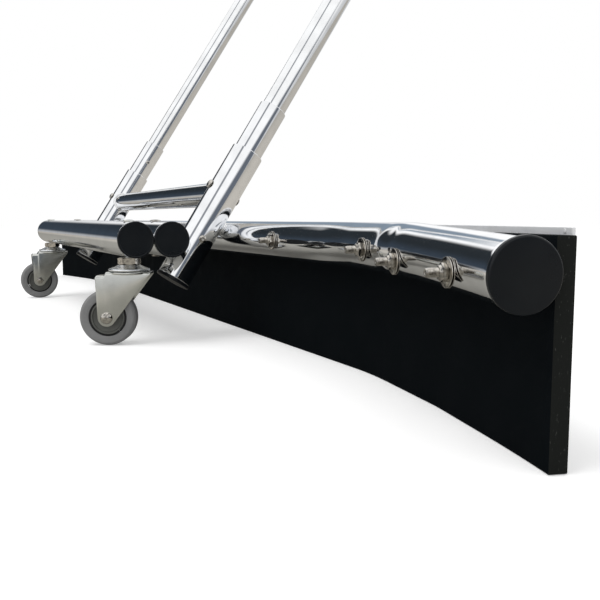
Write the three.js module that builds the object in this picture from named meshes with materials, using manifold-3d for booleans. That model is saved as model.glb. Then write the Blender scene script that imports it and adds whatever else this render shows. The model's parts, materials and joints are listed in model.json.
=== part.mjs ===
// Wheeled court squeegee: a push head of bright aluminium tube that carries a long rubber blade and
// two swivel castors, with a telescoped U-shaped push handle.
// Millimetres, +Z up, +X along the blade, +Y towards the person who pushes it.
// The origin is the middle of the blade's bottom face, where the blade meets the court.

import * as THREE from "three";
import { mergeVertices } from "three/addons/utils/BufferGeometryUtils.js";
import Module from "manifold-3d";

// ---------------------------------------------------------------- driving dimensions

const faceGap = 0.3; // between faces that touch on the real object
const boltClearance = 0.5; // radial, round a bolt in its hole

const frameTube = { radius: 25.4, wall: 3 }; // main tube, castor tubes and sleeves
const middleTube = { radius: 22.1, wall: 2.6 };
const handleTube = { radius: 19.05, wall: 2 };
const tubeSides = 20;
const boreSides = 12;
const telescopeSides = 20; // bores and tubes that slide in each other
const holeSides = 8;

const tubeHeight = 150.5; // centre line of the three long tubes above the court

// The main tube in plan, with the blade and the strip along it: each half is straight apart from three
// bends. A bend's inset is from the tube's end to where the bend starts.
const mainTubeLength = 2088; // along its centre line
const elbow = { inset: 389, length: 75, turn: THREE.MathUtils.degToRad(9), steps: 3 };
const kink = { inset: 206, length: 16, turn: THREE.MathUtils.degToRad(4), steps: 1 };
const tip = { inset: 104, length: 104, turn: THREE.MathUtils.degToRad(3), steps: 2 };
const dip = { inset: 214, depth: 8.5, power: 1.2 }; // the tube's ends sink by its depth

const blade = { thickness: 15, rise: 17.8, endInset: 3 }; // rise: of its top above the tube's centre
const strip = { thickness: 3, height: 62, proud: 5.5, endInset: 10.5 };

const castorTubeLength = 800;
const cap = { flange: 4.7, overhang: 0, barrel: 22, wall: 2.5, fit: 0.5, edge: 1.5 };
const mainCapOverhang = 2;
const plugOverhang = 1.2;

const lean = THREE.MathUtils.degToRad(32.5); // of the uprights, backwards
const uprightSpacing = 670;
const sleeveBottom = -104; // along the upright, from where it touches the main tube
const sleeveTop = 122;
const middleBottom = -50;
const middleTop = 204;
const handleBottom = 112;
const handleTop = 950; // centre line of the cross bar
const handleCornerRadius = 110;
const handleCornerSteps = 5;
const grip = { length: 380, wall: 5.5, collar: 2, collarWidth: 12, fit: 0.3 };

const brace = { radius: 19.05, wall: 2, station: 46.5 };
const sleeveBoltStation = 48;
const rivetStation = -34;

const button = {
  station: 157,
  radius: 4,
  proud: 4.4,
  noseRadius: 2.6,
  noseHeight: 1.4,
  flangeRadius: 6,
  flangeThickness: 1.6,
  clearance: 0.4,
};
const buttonSpring = { width: 8, thickness: 1.2, length: 46 };

// Where the blade's bolts cross the tube: from its end, and above its centre there.
const boltInset = { inner: 794, second: 512, third: 259, fourth: 178, outer: 66 };
const boltRise = { inner: 0, second: 1, third: -1.5, fourth: -8, outer: -5.5 };

const boltSides = 10;
const smallBolt = {
  radius: 4,
  nutAcross: 13,
  nutHeight: 6.5,
  headRadius: 8.5,
  crownRadius: 5,
  headHeight: 4.2,
  stickOut: 10,
};
const washer = { radius: 12, thickness: 1.8, seat: 0.8 }; // seat: its gap to the tube, which bends
const sleeveBolt = {
  radius: 4,
  headRadius: 7,
  crownRadius: 4.5,
  headHeight: 4.5,
  footRadius: 6.5,
  footHeight: 1.6,
};
const rearBolt = { ...sleeveBolt, headRadius: 8, crownRadius: 5.5, headHeight: 2.2 };
const rearBoltInset = 80; // of the bolts through the rear tube, from the tube's ends
const rivet = { radius: 2.4, headRadius: 6, headHeight: 1.6, tail: 4, bore: 1.4 };

const wheelSides = 24;
const wheel = { radius: 40, width: 25, hubLength: 29.4, tread: 4, chamfer: 1, bossRadius: 10, dish: 3 };
const wheelRing = { inner: 24.3, outer: 26.5, inset: 1.5 };
const axle = {
  radius: 4,
  headRadius: 8.5,
  crownRadius: 5,
  headHeight: 5,
  nutAcross: 13,
  nutHeight: 6.5,
  stickOut: 2,
  clearance: 0.4,
};
const fork = {
  sheet: 2.5,
  gap: 30,
  spacerHeight: 9.8, // from the bearing's cup to the tube
  plateRadius: 28,
  plateThickness: 3,
  stepAt: 30, // along the trail
  stepDrop: 5,
  stepRun: 4,
  front: 45.5,
  cornerRadius: 8,
  rear: 32,
  endRadius: 12.5,
  endSlope: 5, // how much nearer the swivel the front edge is at axle height
};
const castor = { inset: 37, trail: 30.5 }; // inset: of the swivel from the tube's ends
const castorTurn = {
  // how each castor stands at rest, about its swivel
  right: THREE.MathUtils.degToRad(-25),
  left: THREE.MathUtils.degToRad(-4),
};
const stem = {
  radius: 6,
  clearance: 0.5,
  headRadius: 8,
  crownRadius: 5.5,
  headHeight: 2.2,
  rivetRadius: 10,
  rivetHeight: 3,
};
const spacerAcross = 28;
const cup = { radius: 29.3, height: 9.4, rim: 3.4, crown: 15 };

// ---------------------------------------------------------------- what follows from them

const sleeveReach = 2 * frameTube.radius + faceGap; // between the centres of two tubes that touch
const mainTubeY = -(blade.thickness / 2 + faceGap + frameTube.radius);
const rearTubeY = mainTubeY - (2 * sleeveReach) / Math.cos(lean);
const frontTubeY = rearTubeY - sleeveReach;
const pathLength = mainTubeLength / 2; // from the middle to one end
const bends = [elbow, kink, tip];
const bladeTop = tubeHeight + blade.rise;
const castorStation = castorTubeLength / 2 - castor.inset;
const rearBoltStation = castorTubeLength / 2 - rearBoltInset;
const forkWidth = fork.gap + 2 * fork.sheet;
const plateTop = tubeHeight - frameTube.radius - 3 * faceGap - fork.spacerHeight - cup.height;

const frameBore = frameTube.radius - frameTube.wall;
const middleBore = middleTube.radius - middleTube.wall;
const handleBore = handleTube.radius - handleTube.wall;
const buttonSeat = Math.sqrt(handleBore ** 2 - button.flangeRadius ** 2) - faceGap; // its flange's top

// ---------------------------------------------------------------- solids

const wasm = await Module();
wasm.setup();

// A closed geometry as a solid that can be joined and cut.
function solidOf(geometry) {
  const bare = geometry.clone();
  bare.deleteAttribute("normal");
  bare.deleteAttribute("uv");
  const merged = mergeVertices(bare, 1e-3);
  const vertProperties = new Float32Array(merged.attributes.position.array);
  const triVerts = new Uint32Array(merged.index.array);
  return new wasm.Manifold(new wasm.Mesh({ numProp: 3, vertProperties, triVerts }));
}

function geometryOf(solid) {
  const mesh = solid.getMesh();
  const geometry = new THREE.BufferGeometry();
  geometry.setAttribute("position", new THREE.BufferAttribute(new Float32Array(mesh.vertProperties), 3));
  geometry.setIndex(new THREE.BufferAttribute(new Uint32Array(mesh.triVerts), 1));
  const faceted = geometry.toNonIndexed();
  faceted.computeVertexNormals();
  return faceted;
}

function join(geometries) {
  return geometryOf(geometries.map(solidOf).reduce((a, b) => a.add(b)));
}

function cut(geometry, cutters) {
  return geometryOf(cutters.map(solidOf).reduce((a, b) => a.subtract(b), solidOf(geometry)));
}

// ---------------------------------------------------------------- simple shapes

// A tube's section. The corners lie on the outer radius and the bore's flats lie on the inner one.
function ringShape(outer, inner, outerSides, innerSides) {
  const circle = (radius, sides) =>
    Array.from({ length: sides }, (_, i) => {
      const angle = (2 * Math.PI * (i + 0.5)) / sides;
      return new THREE.Vector2(radius * Math.cos(angle), radius * Math.sin(angle));
    });
  const shape = new THREE.Shape(circle(outer, outerSides));
  shape.holes.push(new THREE.Path(circle(inner / Math.cos(Math.PI / innerSides), innerSides)));
  return shape;
}

// A straight tube from z = low to z = high.
function tube(outer, inner, low, high, innerSides = boreSides) {
  const shape = ringShape(outer, inner, tubeSides, innerSides);
  return new THREE.ExtrudeGeometry(shape, { depth: high - low, bevelEnabled: false }).translate(0, 0, low);
}

// A solid round bar from z = low to z = high.
function bar(radius, low, high, sides) {
  return new THREE.CylinderGeometry(radius, radius, high - low, sides)
    .rotateX(Math.PI / 2)
    .translate(0, 0, (low + high) / 2);
}

function hexagon(across, low, high) {
  return bar(across / Math.sqrt(3), low, high, 6);
}

// A profile of [radius, z] points turned about Z. It runs upwards outside, and closes on itself or on
// the axis.
function turned(points, sides) {
  const profile = points.map(([radius, z]) => new THREE.Vector2(radius, z));
  return new THREE.LatheGeometry(profile, sides).rotateX(Math.PI / 2);
}

// Turns a shape that was made along Z so that it runs along X or along Y.
const alongX = (geometry) => geometry.rotateY(Math.PI / 2);
const alongY = (geometry) => geometry.rotateX(-Math.PI / 2);

// ---------------------------------------------------------------- the plan of the blade

// The centre line of the main tube in plan, s millimetres from the middle.
function planPoint(s) {
  const side = Math.sign(s) || 1;
  let x = 0;
  let y = 0;
  let angle = 0;
  let reached = 0;
  const straightTo = (end) => {
    x += (end - reached) * Math.cos(angle);
    y -= (end - reached) * Math.sin(angle);
    reached = end;
  };
  for (const { inset, length, turn } of bends) {
    const start = pathLength - inset;
    if (Math.abs(s) <= start) break;
    straightTo(start);
    const radius = length / turn;
    const bent = Math.min(Math.abs(s) - start, length);
    const next = angle + bent / radius;
    x += radius * (Math.sin(next) - Math.sin(angle));
    y -= radius * (Math.cos(angle) - Math.cos(next));
    angle = next;
    reached = start + bent;
  }
  straightTo(Math.abs(s));
  return { x: side * x, y: mainTubeY + y, angle: side * angle };
}

function tubeDrop(s) {
  const share = Math.max(0, 1 - (pathLength - Math.abs(s)) / dip.inset);
  return dip.depth * share ** dip.power;
}

// Where the sections of an extrusion stand that ends this far from the middle.
function stations(end) {
  const half = bends.flatMap(({ inset, length, steps }) =>
    Array.from({ length: steps + 1 }, (_, i) => Math.min(pathLength - inset + (length * i) / steps, end)),
  );
  return [...half.map((s) => -s).reverse(), ...half];
}

// A line beside the main tube's centre line, at its own height, that an extrusion follows.
class PlanCurve extends THREE.Curve {
  constructor(end, offset, heightAt) {
    super();
    this.list = stations(end);
    this.offset = offset;
    this.heightAt = heightAt;
  }
  get steps() {
    return this.list.length - 1;
  }
  getUtoTmapping(u) {
    return u;
  }
  getPoint(t) {
    const place = Math.min(Math.max(t, 0), 1) * this.steps;
    const first = Math.min(Math.floor(place), this.steps - 1);
    const s = this.list[first] + (place - first) * (this.list[first + 1] - this.list[first]);
    const { x, y, angle } = planPoint(s);
    const sideways = new THREE.Vector2(Math.sin(angle), Math.cos(angle)).multiplyScalar(this.offset);
    return new THREE.Vector3(x + sideways.x, y + sideways.y, this.heightAt(s));
  }
}

function follow(shape, curve) {
  return new THREE.ExtrudeGeometry(shape, { steps: curve.steps, extrudePath: curve, bevelEnabled: false });
}

// The section of a plate whose back and front faces stand upright. Along a PlanCurve the shape's x
// points down.
function plateShape(thickness, bottom, top) {
  return new THREE.Shape([
    new THREE.Vector2(-top, 0),
    new THREE.Vector2(-bottom, 0),
    new THREE.Vector2(-bottom, thickness),
    new THREE.Vector2(-top, thickness),
  ]);
}

// Where a blade bolt crosses the tube: a group whose +Y points from the tube to the blade.
function boltPlace(station, rise) {
  const { x, y, angle } = planPoint(station);
  const group = new THREE.Group();
  group.position.set(x, y, tubeHeight - tubeDrop(station) + rise);
  group.rotation.z = -angle;
  group.updateMatrix();
  return group;
}

const boltRow = [
  { name: "middle", station: 0, rise: 0 },
  ...Object.entries(boltInset).flatMap(([name, inset]) => [
    { name: name + "_left", station: inset - pathLength, rise: boltRise[name] },
    { name: name + "_right", station: pathLength - inset, rise: boltRise[name] },
  ]),
];

function boltHoles() {
  const reach = 2 * frameTube.radius + blade.thickness + strip.thickness;
  return boltRow.map(({ station, rise }) =>
    alongY(bar(smallBolt.radius + boltClearance, -reach, reach, holeSides)).applyMatrix4(
      boltPlace(station, rise).matrix,
    ),
  );
}

// ---------------------------------------------------------------- materials and meshes

const looks = {
  aluminium: { color: 0xd4d7da, roughness: 0.12, metalness: 1 },
  handleAluminium: { color: 0xd9dbdd, roughness: 0.2, metalness: 1 },
  rubber: { color: 0x0c0d0f, roughness: 0.85, metalness: 0 },
  capPlastic: { color: 0x14171a, roughness: 0.55, metalness: 0 },
  gripRubber: { color: 0x151618, roughness: 0.8, metalness: 0 },
  zinc: { color: 0xb9bcbb, roughness: 0.35, metalness: 1 },
  steel: { color: 0xc2c2c0, roughness: 0.25, metalness: 1 },
  tyreGrey: { color: 0x77787c, roughness: 0.7, metalness: 0 },
  hubGrey: { color: 0x6d6e6c, roughness: 0.5, metalness: 0 },
  ringBlack: { color: 0x0b0b0c, roughness: 0.6, metalness: 0 },
  springSteel: { color: 0x8d9094, roughness: 0.3, metalness: 1 },
};

function piece(name, geometry, look) {
  const mesh = new THREE.Mesh(geometry, new THREE.MeshStandardMaterial(looks[look]));
  mesh.name = name;
  return mesh;
}

const sides = [
  { name: "right", sign: 1 },
  { name: "left", sign: -1 },
];

// ---------------------------------------------------------------- tube, blade and strip

function mainTube() {
  const curve = new PlanCurve(pathLength, 0, (s) => tubeHeight - tubeDrop(s));
  const shape = ringShape(frameTube.radius, frameBore, tubeSides, boreSides);
  return piece("main_tube", cut(follow(shape, curve), boltHoles()), "aluminium");
}

function rubberBlade() {
  const curve = new PlanCurve(pathLength - blade.endInset, frameTube.radius + faceGap, () => 0);
  const shape = plateShape(blade.thickness, 0, bladeTop);
  return piece("rubber_blade", cut(follow(shape, curve), boltHoles()), "rubber");
}

function clampStrip() {
  const offset = frameTube.radius + 2 * faceGap + blade.thickness;
  const curve = new PlanCurve(pathLength - strip.endInset, offset, () => 0);
  const top = bladeTop + strip.proud;
  const shape = plateShape(strip.thickness, top - strip.height, top);
  return piece("clamp_strip", cut(follow(shape, curve), boltHoles()), "aluminium");
}

// Head behind the strip, shank through strip, blade and tube, washer, nut and stud end in front.
function bladeBoltGeometry() {
  const stripBack = frameTube.radius + 3 * faceGap + blade.thickness + strip.thickness;
  const washerBack = -(frameTube.radius + washer.seat);
  const washerFront = washerBack - washer.thickness;
  const studEnd = washerFront - smallBolt.nutHeight - smallBolt.stickOut;
  const turnedPart = turned(
    [
      [0, studEnd],
      [smallBolt.radius, studEnd],
      [smallBolt.radius, washerFront],
      [washer.radius, washerFront],
      [washer.radius, washerBack],
      [smallBolt.radius, washerBack],
      [smallBolt.radius, stripBack],
      [smallBolt.headRadius, stripBack],
      [smallBolt.crownRadius, stripBack + smallBolt.headHeight],
      [0, stripBack + smallBolt.headHeight],
    ],
    boltSides,
  );
  const nutEnd = washerFront - smallBolt.nutHeight;
  const nut = hexagon(smallBolt.nutAcross, nutEnd, washerFront + washer.thickness / 2);
  return alongY(join([turnedPart, nut]));
}

function addBladeBolts(parent) {
  for (const { name, station, rise } of boltRow) {
    const place = boltPlace(station, rise);
    place.add(piece("blade_bolt_" + name, bladeBoltGeometry(), "steel"));
    parent.add(place);
  }
}

// ---------------------------------------------------------------- end caps

// A moulded cap along +Z: the flange covers the tube's end and a hollow barrel fills the bore.
// The flange's inner face is at z = faceGap and the tube ends at z = 0.
function capGeometry(overhang) {
  const outer = frameTube.radius + overhang;
  const barrel = frameBore - cap.fit;
  const top = faceGap + cap.flange;
  return turned(
    [
      [0, faceGap],
      [barrel - cap.wall, faceGap],
      [barrel - cap.wall, -cap.barrel],
      [barrel, -cap.barrel],
      [barrel, faceGap],
      [outer, faceGap],
      [outer, top - cap.edge],
      [outer - cap.edge, top],
      [0, top],
    ],
    tubeSides,
  );
}

function addMainCaps(parent) {
  for (const { name, sign } of sides) {
    const end = new PlanCurve(pathLength, 0, (s) => tubeHeight - tubeDrop(s));
    const t = sign > 0 ? 1 : 0;
    const outward = end.getTangent(t).multiplyScalar(sign);
    const mesh = piece("main_cap_" + name, capGeometry(mainCapOverhang), "capPlastic");
    mesh.position.copy(end.getPoint(t));
    mesh.quaternion.setFromUnitVectors(new THREE.Vector3(0, 0, 1), outward);
    parent.add(mesh);
  }
}

// ---------------------------------------------------------------- the two castor tubes

function castorTubeGeometry(holeStation, holeRadius) {
  const plain = alongX(tube(frameTube.radius, frameBore, -castorTubeLength / 2, castorTubeLength / 2));
  const reach = 2 * frameTube.radius;
  const hole = bar(holeRadius, -reach, reach, holeSides);
  const holes = sides.map(({ sign }) => hole.clone().translate(sign * holeStation, 0, 0));
  return cut(plain, holes);
}

function addCastorTubes(parent) {
  const rows = [
    { name: "front", y: frontTubeY, station: castorStation, hole: stem.radius + boltClearance },
    { name: "rear", y: rearTubeY, station: rearBoltStation, hole: rearBolt.radius + boltClearance },
  ];
  for (const { name, y, station, hole } of rows) {
    const group = new THREE.Group();
    group.position.set(0, y, tubeHeight);
    group.add(piece(name + "_tube", castorTubeGeometry(station, hole), "aluminium"));
    for (const { name: side, sign } of sides) {
      const mesh = piece(name + "_cap_" + side, capGeometry(cap.overhang), "capPlastic");
      mesh.position.x = (sign * castorTubeLength) / 2;
      mesh.rotation.y = (sign * Math.PI) / 2;
      group.add(mesh);
    }
    parent.add(group);
  }
}

// A bolt through a tube, along Z about the tube's centre: a domed head on top and a low round foot below.
function throughBolt(size) {
  const face = frameTube.radius + faceGap;
  return turned(
    [
      [0, -face - size.footHeight],
      [size.radius, -face - size.footHeight],
      [size.footRadius, -face],
      [size.radius, -face],
      [size.radius, face],
      [size.headRadius, face],
      [size.crownRadius, face + size.headHeight],
      [0, face + size.headHeight],
    ],
    boltSides,
  );
}

function addRearTubeBolts(parent) {
  for (const { name, sign } of sides) {
    const mesh = piece("rear_tube_bolt_" + name, throughBolt(rearBolt), "steel");
    mesh.position.set(sign * rearBoltStation, rearTubeY, tubeHeight);
    parent.add(mesh);
  }
}

// ---------------------------------------------------------------- uprights and handle

// In this group +Z runs up the uprights and -Y is their front. Its origin is level with where the
// uprights touch the main tube.
function uprightPlane() {
  const group = new THREE.Group();
  group.position.set(0, mainTubeY - sleeveReach * Math.cos(lean), tubeHeight + sleeveReach * Math.sin(lean));
  group.rotation.x = -lean;
  return group;
}

const crossReach = 2 * frameTube.radius; // a cutter this long passes every tube wall

// The sleeve bolt's hole, through both walls from front to back.
function sleeveBoltHole() {
  const hole = bar(sleeveBolt.radius + boltClearance, -crossReach, crossReach, holeSides);
  return alongY(hole).translate(0, 0, sleeveBoltStation);
}

// A hole through one wall, on the side that direction gives: 1 is towards +X.
function sideHole(radius, station, direction) {
  const [from, to] = [0, direction * crossReach].sort((a, b) => a - b);
  return alongX(bar(radius, from, to, holeSides)).translate(0, 0, station);
}

const rivetHole = (sign) => sideHole(rivet.radius + faceGap, rivetStation, sign);
const buttonHole = (sign) => sideHole(button.radius + button.clearance, button.station, -sign);

function sleeveGeometry(sign) {
  const plain = tube(frameTube.radius, frameBore, sleeveBottom, sleeveTop, telescopeSides);
  return cut(plain, [sleeveBoltHole(), rivetHole(sign)]);
}

function middleTubeGeometry(sign) {
  const plain = tube(middleTube.radius, middleBore, middleBottom, middleTop, telescopeSides);
  return cut(plain, [sleeveBoltHole(), rivetHole(sign), buttonHole(sign)]);
}

// A pop rivet along +Z. The sleeve's outer face is at z = 0 and the tail holds the middle tube.
function rivetGeometry() {
  const wallsEnd = -(frameTube.radius - middleBore);
  return turned(
    [
      [rivet.bore, wallsEnd - rivet.tail],
      [rivet.radius, wallsEnd - rivet.tail],
      [rivet.radius, faceGap],
      [rivet.headRadius, faceGap],
      [rivet.headRadius * 0.7, faceGap + rivet.headHeight],
      [rivet.bore, faceGap + rivet.headHeight],
      [rivet.bore, wallsEnd - rivet.tail],
    ],
    boltSides,
  );
}

// The snap button along +Z, from its flange inside the handle tube to its round nose.
function buttonGeometry() {
  const nose = middleTube.radius + button.proud;
  return turned(
    [
      [0, buttonSeat - button.flangeThickness],
      [button.flangeRadius, buttonSeat - button.flangeThickness],
      [button.flangeRadius, buttonSeat],
      [button.radius, buttonSeat],
      [button.radius, nose - button.noseHeight],
      [button.noseRadius, nose],
      [0, nose],
    ],
    12,
  );
}

// The bent leaf that pushes the button out: one leg under the button, the other along the far wall.
function springGeometry() {
  const { thickness, length, width } = buttonSpring;
  const start = -button.flangeRadius;
  const top = buttonSeat - button.flangeThickness - faceGap;
  const wall = faceGap - Math.sqrt(handleBore ** 2 - (width / 2) ** 2);
  const shape = new THREE.Shape([
    new THREE.Vector2(start, top),
    new THREE.Vector2(start, top - thickness),
    new THREE.Vector2(button.flangeRadius, top - thickness),
    new THREE.Vector2(length - 2 * thickness, wall + thickness),
    new THREE.Vector2(start, wall + thickness),
    new THREE.Vector2(start, wall),
    new THREE.Vector2(length, wall),
    new THREE.Vector2(button.flangeRadius + thickness, top),
  ]);
  return new THREE.ExtrudeGeometry(shape, { depth: width, bevelEnabled: false }).translate(0, 0, -width / 2);
}

// The handle's centre line in the uprights' plane, from the foot of one leg to the foot of the other.
class HandleCurve extends THREE.Curve {
  constructor() {
    super();
    const half = uprightSpacing / 2;
    const turnAt = handleTop - handleCornerRadius;
    const right = [new THREE.Vector3(half, 0, handleBottom)];
    for (let i = 0; i <= handleCornerSteps; i++) {
      const angle = ((Math.PI / 2) * i) / handleCornerSteps;
      const x = half - handleCornerRadius * (1 - Math.cos(angle));
      right.push(new THREE.Vector3(x, 0, turnAt + handleCornerRadius * Math.sin(angle)));
    }
    const left = right.map((p) => new THREE.Vector3(-p.x, p.y, p.z)).reverse();
    this.list = [...right, ...left];
  }
  get steps() {
    return this.list.length - 1;
  }
  getUtoTmapping(u) {
    return u;
  }
  getPoint(t) {
    const place = Math.min(Math.max(t, 0), 1) * this.steps;
    const first = Math.min(Math.floor(place), this.steps - 1);
    return this.list[first].clone().lerp(this.list[first + 1], place - first);
  }
}

function handleGeometry() {
  const curve = new HandleCurve();
  const shape = ringShape(handleTube.radius, handleBore, telescopeSides, boreSides);
  const holes = sides.map(({ sign }) => buttonHole(sign).translate((sign * uprightSpacing) / 2, 0, 0));
  return cut(follow(shape, curve), holes);
}

function gripGeometry() {
  const inner = handleTube.radius + grip.fit;
  const outer = handleTube.radius + grip.wall;
  const half = grip.length / 2;
  return alongX(
    turned(
      [
        [inner, -half],
        [outer + grip.collar, -half],
        [outer + grip.collar, -half + grip.collarWidth],
        [outer, -half + grip.collarWidth + grip.collar],
        [outer, half - grip.collarWidth - grip.collar],
        [outer + grip.collar, half - grip.collarWidth],
        [outer + grip.collar, half],
        [inner, half],
        [inner, -half],
      ],
      tubeSides,
    ),
  );
}

// The cross tube between the sleeves. Its ends are cut to the round of the sleeves.
function braceGeometry() {
  const half = uprightSpacing / 2;
  const shape = alongX(tube(brace.radius, brace.radius - brace.wall, frameBore - half, half - frameBore));
  const sleeveCutter = bar(frameTube.radius + faceGap, -2 * brace.radius, 2 * brace.radius, 2 * tubeSides);
  return cut(
    shape,
    sides.map(({ sign }) => sleeveCutter.clone().translate(sign * half, 0, 0)),
  );
}

function addUprights(parent) {
  const plane = uprightPlane();
  for (const { name, sign } of sides) {
    const group = new THREE.Group();
    group.position.x = (sign * uprightSpacing) / 2;
    group.add(piece("sleeve_" + name, sleeveGeometry(sign), "aluminium"));
    group.add(piece("middle_tube_" + name, middleTubeGeometry(sign), "aluminium"));

    const plug = piece("sleeve_plug_" + name, capGeometry(plugOverhang), "capPlastic");
    plug.position.z = sleeveBottom;
    plug.rotation.x = Math.PI;
    group.add(plug);

    const bolt = piece("sleeve_bolt_" + name, throughBolt(sleeveBolt), "steel");
    bolt.position.z = sleeveBoltStation;
    bolt.rotation.x = Math.PI / 2; // head towards -Y
    group.add(bolt);

    const popRivet = piece("rivet_" + name, rivetGeometry(), "steel");
    popRivet.position.set(sign * frameTube.radius, 0, rivetStation);
    popRivet.rotation.y = (sign * Math.PI) / 2;
    group.add(popRivet);

    // The buttons face each other, so each points along its group's inner side.
    const snap = new THREE.Group();
    snap.position.z = button.station;
    snap.rotation.set(0, (-sign * Math.PI) / 2, sign > 0 ? 0 : Math.PI);
    snap.add(piece("snap_button_" + name, buttonGeometry(), "steel"));
    const leaf = piece("button_spring_" + name, springGeometry(), "springSteel");
    leaf.rotation.x = Math.PI / 2;
    snap.add(leaf);
    group.add(snap);
    plane.add(group);
  }

  const crossTube = piece("brace", braceGeometry(), "aluminium");
  crossTube.position.z = brace.station;
  plane.add(crossTube);
  plane.add(piece("handle", handleGeometry(), "handleAluminium"));
  const sleeve = piece("handle_grip", gripGeometry(), "gripRubber");
  sleeve.position.z = handleTop;
  plane.add(sleeve);
  parent.add(plane);
}

// ---------------------------------------------------------------- castors

// Stem from its head on top of the tube down to the riveted end under the fork, along Z about the swivel.
function stemGeometry() {
  const tubeTop = tubeHeight + frameTube.radius + faceGap;
  const plateBottom = plateTop - fork.plateThickness - faceGap;
  return turned(
    [
      [0, plateBottom - stem.rivetHeight],
      [stem.rivetRadius, plateBottom - stem.rivetHeight],
      [stem.rivetRadius, plateBottom],
      [stem.radius, plateBottom],
      [stem.radius, tubeTop],
      [stem.headRadius, tubeTop],
      [stem.crownRadius, tubeTop + stem.headHeight],
      [0, tubeTop + stem.headHeight],
    ],
    boreSides,
  );
}

function spacerGeometry() {
  const cupTop = plateTop + faceGap + cup.height;
  const low = cupTop + faceGap;
  const high = tubeHeight - frameTube.radius - faceGap;
  return cut(hexagon(spacerAcross, low, high), [bar(stem.radius + stem.clearance, 0, 2 * high, boreSides)]);
}

// The fixed half of the swivel bearing, a pressed dish over the fork's plate.
function cupGeometry() {
  const low = plateTop + faceGap;
  const high = low + cup.height;
  const hole = stem.radius + stem.clearance;
  return turned(
    [
      [hole, low],
      [cup.radius, low],
      [cup.radius, low + cup.rim],
      [cup.crown, high],
      [hole, high],
      [hole, low],
    ],
    wheelSides,
  );
}

// One side of the fork, drawn in the plane of the trail (x) and height (y).
function cheekShape() {
  const ledgeTop = plateTop - fork.stepDrop;
  const [back, fall] = [fork.rear + castor.trail, plateTop - fork.plateThickness - wheel.radius];
  const backEdge = Math.atan2(fall, back) + Math.asin(fork.endRadius / Math.hypot(fall, back));
  const frontEdge = Math.atan2(fork.endSlope, ledgeTop - wheel.radius);
  const shape = new THREE.Shape();
  shape.moveTo(-fork.rear, plateTop);
  shape.lineTo(-fork.rear, plateTop - fork.plateThickness);
  const [arcFrom, arcTo] = [1.5 * Math.PI - backEdge, 2 * Math.PI - frontEdge];
  shape.absarc(castor.trail, wheel.radius, fork.endRadius, arcFrom, arcTo, false);
  shape.lineTo(fork.front, ledgeTop - fork.sheet);
  shape.lineTo(fork.front - fork.sheet, ledgeTop);
  shape.lineTo(fork.stepAt + fork.stepRun, ledgeTop);
  shape.lineTo(fork.stepAt, plateTop);
  shape.closePath();
  return shape;
}

// The flat top of the fork in plan: a disc under the bearing, then a tongue with round corners.
function forkTopShape(from, to, corner) {
  const half = forkWidth / 2;
  const shape = new THREE.Shape();
  shape.moveTo(-half, from);
  shape.lineTo(half, from);
  shape.absarc(half - corner, to - corner, corner, 0, Math.PI / 2, false);
  shape.absarc(corner - half, to - corner, corner, Math.PI / 2, Math.PI, false);
  shape.closePath();
  return shape;
}

// The pressed fork about the swivel, its trail along -Y: a round plate, a lower ledge and two cheeks.
function forkGeometry() {
  const flat = (shape, top) =>
    new THREE.ExtrudeGeometry(shape, { depth: fork.plateThickness, bevelEnabled: false, curveSegments: 3 })
      .rotateZ(Math.PI)
      .translate(0, 0, top - fork.plateThickness);
  const ledgeTop = plateTop - fork.stepDrop;
  const rampEnd = fork.stepAt + fork.stepRun;
  const ramp = new THREE.Shape([
    new THREE.Vector2(fork.stepAt - fork.sheet, plateTop),
    new THREE.Vector2(fork.stepAt - fork.sheet, ledgeTop - fork.plateThickness),
    new THREE.Vector2(rampEnd, ledgeTop - fork.plateThickness),
    new THREE.Vector2(rampEnd, ledgeTop),
    new THREE.Vector2(fork.stepAt, plateTop),
  ]);
  const upright = (shape, thickness, x) =>
    new THREE.ExtrudeGeometry(shape, { depth: thickness, bevelEnabled: false, curveSegments: 5 })
      .rotateX(Math.PI / 2)
      .rotateZ(-Math.PI / 2)
      .translate(x + thickness, 0, 0);
  const axleHole = alongX(bar(axle.radius + axle.clearance, -forkWidth, forkWidth, boreSides));
  return cut(
    join([
      bar(fork.plateRadius, plateTop - fork.plateThickness, plateTop, wheelSides),
      flat(forkTopShape(0, fork.stepAt, fork.plateThickness), plateTop),
      flat(forkTopShape(rampEnd - fork.sheet, fork.front, fork.cornerRadius), ledgeTop),
      upright(ramp, forkWidth, -forkWidth / 2),
      upright(cheekShape(), fork.sheet, fork.gap / 2),
      upright(cheekShape(), fork.sheet, -forkWidth / 2),
    ]),
    [
      bar(stem.radius + stem.clearance, 0, 2 * plateTop, boreSides),
      axleHole.translate(0, -castor.trail, wheel.radius),
    ],
  );
}

// The parts of the wheel turn about Z here and are laid along the axle afterwards.
function tyreGeometry() {
  const half = wheel.width / 2;
  const inner = wheelRing.outer + faceGap;
  return turned(
    [
      [inner, -half + wheel.chamfer],
      [wheel.radius - wheel.tread, -half],
      [wheel.radius, -half + wheel.tread],
      [wheel.radius, half - wheel.tread],
      [wheel.radius - wheel.tread, half],
      [inner, half - wheel.chamfer],
      [inner, -half + wheel.chamfer],
    ],
    wheelSides,
  );
}

function hubGeometry() {
  const half = wheel.width / 2;
  const bore = axle.radius + axle.clearance;
  const rim = wheelRing.inner - faceGap;
  return turned(
    [
      [bore, -wheel.hubLength / 2],
      [wheel.bossRadius, -wheel.hubLength / 2],
      [wheel.bossRadius, -half + wheel.dish],
      [rim, -half + wheel.chamfer],
      [rim, half - wheel.chamfer],
      [wheel.bossRadius, half - wheel.dish],
      [wheel.bossRadius, wheel.hubLength / 2],
      [bore, wheel.hubLength / 2],
      [bore, -wheel.hubLength / 2],
    ],
    wheelSides,
  );
}

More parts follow.
